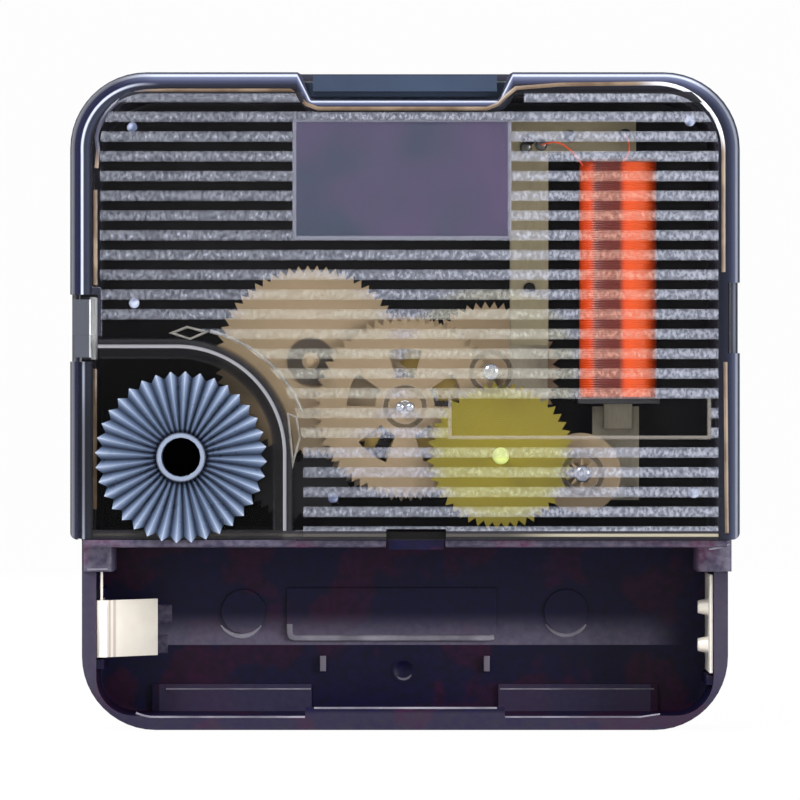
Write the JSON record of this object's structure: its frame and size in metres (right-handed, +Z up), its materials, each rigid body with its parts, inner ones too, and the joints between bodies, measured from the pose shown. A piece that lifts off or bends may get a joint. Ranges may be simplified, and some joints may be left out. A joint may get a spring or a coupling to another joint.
{
  "type": "quartz clock movement",
  "caption": "Battery-driven quartz clock movement with a clear ribbed back, visible gear train, setting knob, open cell tray and concentric hand shafts.",
  "frame": {"origin": "bottom centre: the dial-face plane of the case, on the middle of its bottom edge", "axes": "+Y out of the dial face along the hand shafts, +Z up as the clock hangs, +X to the right as seen from the back"},
  "size_m": [0.056, 0.032, 0.0552],
  "materials": {
    "case_black": "satin",
    "cover_clear": "gloss",
    "knob_blue": "satin",
    "gear_beige": "satin",
    "gear_green": "satin",
    "pipe_brass": "satin",
    "spring_steel": "satin",
    "magnet_dark": "matte",
    "stator_steel": "matte",
    "resin_dark": "matte",
    "winding_orange": "gloss",
    "board_tan": "matte",
    "contact_nickel": "satin"
  },
  "bodies": {
    "housing": {"front_case": "case_black", "back_cover": "cover_clear", "stator_plate": "stator_steel", "coil_core": "stator_steel", "coil_bobbin": "resin_dark", "coil_winding": "winding_orange", "circuit_board": "board_tan", "quartz_crystal": "contact_nickel", "chip": "resin_dark", "negative_contact": "contact_nickel", "positive_contact": "contact_nickel", "threaded_bushing": "pipe_brass"},
    "knob": {"setting_knob": "knob_blue", "knob_gear": "case_black"},
    "idler": {"setting_idler": "case_black"},
    "minute_tube": {"minute_pipe": "pipe_brass", "clutch_spring": "spring_steel"},
    "motion": {"motion_wheel": "gear_beige"},
    "hour": {"hour_wheel": "gear_beige"},
    "intermediate": {"intermediate_wheel": "gear_green"},
    "rotor": {"rotor_pinion": "gear_beige", "rotor_magnet": "magnet_dark"},
    "seconds": {"seconds_wheel": "gear_beige", "seconds_arbor": "spring_steel"},
    "third": {"third_wheel": "gear_beige"},
    "minute": {"minute_wheel": "gear_beige"},
    "leaf": {"negative_leaf": "contact_nickel"}
  },
  "joints": [
    {"name": "knob_spin", "type": "hinge", "parent": "housing", "child": "knob", "pos_m": [-0.01875, 0, 0.023], "axis": [0, -1, 0], "continuous": true},
    {"name": "idler_spin", "type": "hinge", "parent": "housing", "child": "idler", "pos_m": [-0.00917, 0, 0.02305], "axis": [0, -1, 0], "continuous": true},
    {"name": "minute_pipe_spin", "type": "hinge", "parent": "housing", "child": "minute_tube", "pos_m": [0, 0, 0.0272], "axis": [0, -1, 0], "continuous": true},
    {"name": "motion_spin", "type": "hinge", "parent": "housing", "child": "motion", "pos_m": [0.00719, 0, 0.03013], "axis": [0, -1, 0], "continuous": true},
    {"name": "hour_spin", "type": "hinge", "parent": "housing", "child": "hour", "pos_m": [0, 0, 0.0272], "axis": [0, -1, 0], "continuous": true},
    {"name": "intermediate_spin", "type": "hinge", "parent": "housing", "child": "intermediate", "pos_m": [0.00802, 0, 0.02311], "axis": [0, -1, 0], "continuous": true},
    {"name": "rotor_spin", "type": "hinge", "parent": "housing", "child": "rotor", "pos_m": [0.01486, 0, 0.02162], "axis": [0, -1, 0], "continuous": true},
    {"name": "seconds_spin", "type": "hinge", "parent": "housing", "child": "seconds", "pos_m": [0, 0, 0.0272], "axis": [0, -1, 0], "continuous": true},
    {"name": "third_spin", "type": "hinge", "parent": "housing", "child": "third", "pos_m": [-0.00794, 0, 0.03106], "axis": [0, -1, 0], "continuous": true},
    {"name": "minute_spin", "type": "hinge", "parent": "housing", "child": "minute", "pos_m": [0, 0, 0.0272], "axis": [0, -1, 0], "continuous": true},
    {"name": "leaf_bend", "type": "hinge", "parent": "housing", "child": "leaf", "pos_m": [-0.02525, -0.0106, 0.0085], "axis": [0, 0, 1], "range_deg": [0, 30], "stiffness_Nm_per_rad": 0.03}
  ],
  "couplings": [
    {"joint": "idler_spin", "follows": "knob_spin", "ratio": -0.83721},
    {"joint": "minute_pipe_spin", "follows": "knob_spin", "ratio": 0.9},
    {"joint": "motion_spin", "follows": "knob_spin", "ratio": -0.3},
    {"joint": "hour_spin", "follows": "knob_spin", "ratio": 0.075},
    {"joint": "rotor_spin", "follows": "intermediate_spin", "ratio": -6},
    {"joint": "seconds_spin", "follows": "intermediate_spin", "ratio": -0.2},
    {"joint": "third_spin", "follows": "intermediate_spin", "ratio": 0.025},
    {"joint": "minute_spin", "follows": "intermediate_spin", "ratio": -0.0033333}
  ]
}
